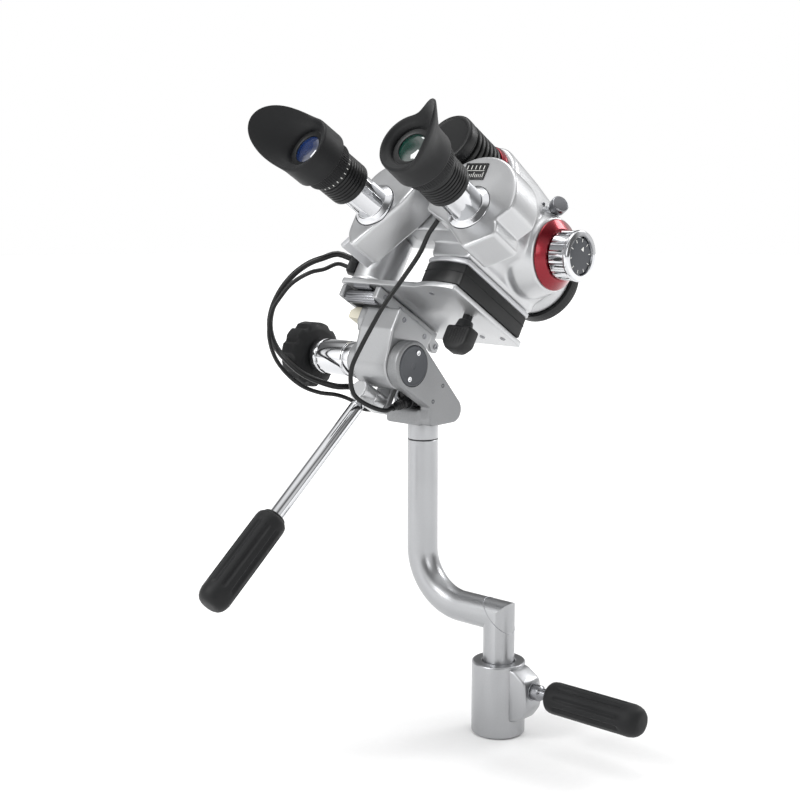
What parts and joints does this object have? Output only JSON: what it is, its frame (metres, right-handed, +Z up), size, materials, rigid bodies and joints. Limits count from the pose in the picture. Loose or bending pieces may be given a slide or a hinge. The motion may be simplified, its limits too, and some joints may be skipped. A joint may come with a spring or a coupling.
{
  "type": "microscope head mount",
  "caption": "Two-eyepiece examination microscope head on a pan and tilt yoke, with a pan handle, a cranked post and a column clamp collar.",
  "frame": {"origin": "middle of the flat lower face of the column collar, on the collar's axis", "axes": "+Z up along the column, -Y towards the operator, +X along the tilt axis to the operator's right"},
  "size_m": [0.2801, 0.2908, 0.4319],
  "materials": {
    "satin_silver": "fine satin silver paint",
    "cast_grey": "shot-blasted grey casting",
    "tube_silver": "satin anodised tube",
    "chrome": "polished chrome",
    "dark_grey": "dark grey moulded cap",
    "black_plastic": "matt black",
    "rubber": "soft black rubber",
    "red_anodised": "red anodised",
    "steel": "turned steel",
    "coated_glass": "coated optical glass",
    "cream_plastic": "cream moulded block",
    "grey_paint": "smooth grey paint",
    "light_paint": "pale grey paint",
    "cable_black": "smooth black cable jacket"
  },
  "bodies": {
    "column": {"column_collar": "tube_silver"},
    "clamp": {"clamp_screw": "steel", "clamp_grip": "rubber"},
    "crank": {"crank_tube": "tube_silver", "crank_stop_screw": "steel"},
    "yoke": {"pan_stub": "tube_silver", "yoke_casting": "cast_grey", "tilt_cap": "dark_grey", "cap_screw_a": "chrome", "cap_screw_b": "chrome", "tilt_shaft": "steel", "connector_panel": "steel", "lamp_socket": "black_plastic", "lamp_plug": "black_plastic", "lamp_lead": "cable_black", "loop_thick": "cable_black", "loop_thin": "cable_black"},
    "tilt": {"tilt_block": "grey_paint", "friction_sleeve": "chrome", "rail_channel": "grey_paint", "stop_block": "cream_plastic"},
    "friction": {"friction_knob": "rubber"},
    "handle": {"handle_knuckle": "satin_silver", "handle_rod": "chrome", "handle_grip": "rubber"},
    "pinion": {"slide_pinion": "black_plastic"},
    "carriage": {"base_plate": "satin_silver", "slide_rack": "steel", "support_pillar": "satin_silver", "box_band": "black_plastic", "box_top": "light_paint", "body_casting": "satin_silver", "objective_ring": "black_plastic", "objective_lens": "coated_glass", "lamp_ring": "red_anodised", "lamp_housing": "black_plastic", "lamp_cap": "black_plastic", "cable_clip": "black_plastic", "drum_ring": "red_anodised"},
    "lever": {"lock_lever": "black_plastic"},
    "drum": {"drum_shaft": "steel", "drum_knob": "chrome", "drum_knob_far": "chrome", "drum_dial": "dark_grey"},
    "filter": {"filter_knob": "steel"},
    "left_ocular": {"left_prism_housing": "satin_silver", "left_side_cover": "light_paint", "left_tube": "chrome", "left_barrel": "black_plastic", "left_lens": "coated_glass"},
    "right_ocular": {"right_prism_housing": "satin_silver", "scale_plate": "black_plastic", "right_tube": "chrome", "right_barrel": "black_plastic", "right_lens": "coated_glass"},
    "left_focus": {"left_diopter": "black_plastic", "left_eyecup": "rubber"},
    "right_focus": {"right_diopter": "black_plastic", "right_eyecup": "rubber"}
  },
  "joints": [
    {"name": "clamp_turn", "type": "hinge", "parent": "column", "child": "clamp", "pos_m": [0, 0, 0.036], "axis": [1, 0, 0], "range_deg": [-270, 30]},
    {"name": "crank_turn", "type": "hinge", "parent": "column", "child": "crank", "pos_m": [0, 0, 0], "axis": [0, 0, 1], "continuous": true},
    {"name": "pan_turn", "type": "hinge", "parent": "crank", "child": "yoke", "pos_m": [-0.071, 0, 0], "axis": [0, 0, 1], "continuous": true},
    {"name": "tilt_turn", "type": "hinge", "parent": "yoke", "child": "tilt", "pos_m": [-0.071, -0.0357, 0.2588], "axis": [1, 0, 0], "range_deg": [-20, 20], "deforming": ["lamp_lead", "loop_thick", "loop_thin"]},
    {"name": "friction_turn", "type": "hinge", "parent": "yoke", "child": "friction", "pos_m": [-0.14, -0.0357, 0.2588], "axis": [1, 0, 0], "range_deg": [-180, 90]},
    {"name": "handle_swing", "type": "hinge", "parent": "tilt", "child": "handle", "pos_m": [-0.081, -0.04916, 0.23726], "axis": [0, 0.848, -0.5299], "range_deg": [-30, 30]},
    {"name": "focus_slide", "type": "slide", "parent": "tilt", "child": "carriage", "axis": [0, 0.848, -0.5299], "range_m": [-0.01, 0.005]},
    {"name": "pinion_turn", "type": "hinge", "parent": "tilt", "child": "pinion", "pos_m": [-0.071, -0.04075, 0.30393], "axis": [1, 0, 0], "range_deg": [-64, 126]},
    {"name": "lever_turn", "type": "hinge", "parent": "carriage", "child": "lever", "pos_m": [-0.021, -0.03316, 0.25721], "axis": [0, 0.5299, 0.848], "range_deg": [-40, 40]},
    {"name": "drum_turn", "type": "hinge", "parent": "carriage", "child": "drum", "pos_m": [-0.021, 0.03547, 0.33401], "axis": [1, 0, 0], "continuous": true},
    {"name": "filter_turn", "type": "hinge", "parent": "carriage", "child": "filter", "pos_m": [0.0095, 0.0439, 0.36353], "axis": [0.7998, -0.282, 0.5299], "range_deg": [0, 90]},
    {"name": "left_ocular_swing", "type": "hinge", "parent": "carriage", "child": "left_ocular", "pos_m": [-0.043, 0.01835, 0.3453], "axis": [0, 0.848, -0.5299], "range_deg": [-23, 5]},
    {"name": "right_ocular_swing", "type": "hinge", "parent": "carriage", "child": "right_ocular", "pos_m": [0.001, 0.01835, 0.3453], "axis": [0, 0.848, -0.5299], "range_deg": [-5, 23]},
    {"name": "left_focus_turn", "type": "hinge", "parent": "left_ocular", "child": "left_focus", "pos_m": [-0.0615, -0.06057, 0.36808], "axis": [-0.0558, -0.8467, 0.5291], "range_deg": [-70, 70]},
    {"name": "right_focus_turn", "type": "hinge", "parent": "right_ocular", "child": "right_focus", "pos_m": [0.0195, -0.06057, 0.36808], "axis": [0.0558, -0.8467, 0.5291], "range_deg": [-70, 70]}
  ],
  "couplings": [
    {"joint": "pinion_turn", "follows": "focus_slide", "rad_per_m": -217.39},
    {"joint": "right_ocular_swing", "follows": "left_ocular_swing", "ratio": -1}
  ]
}
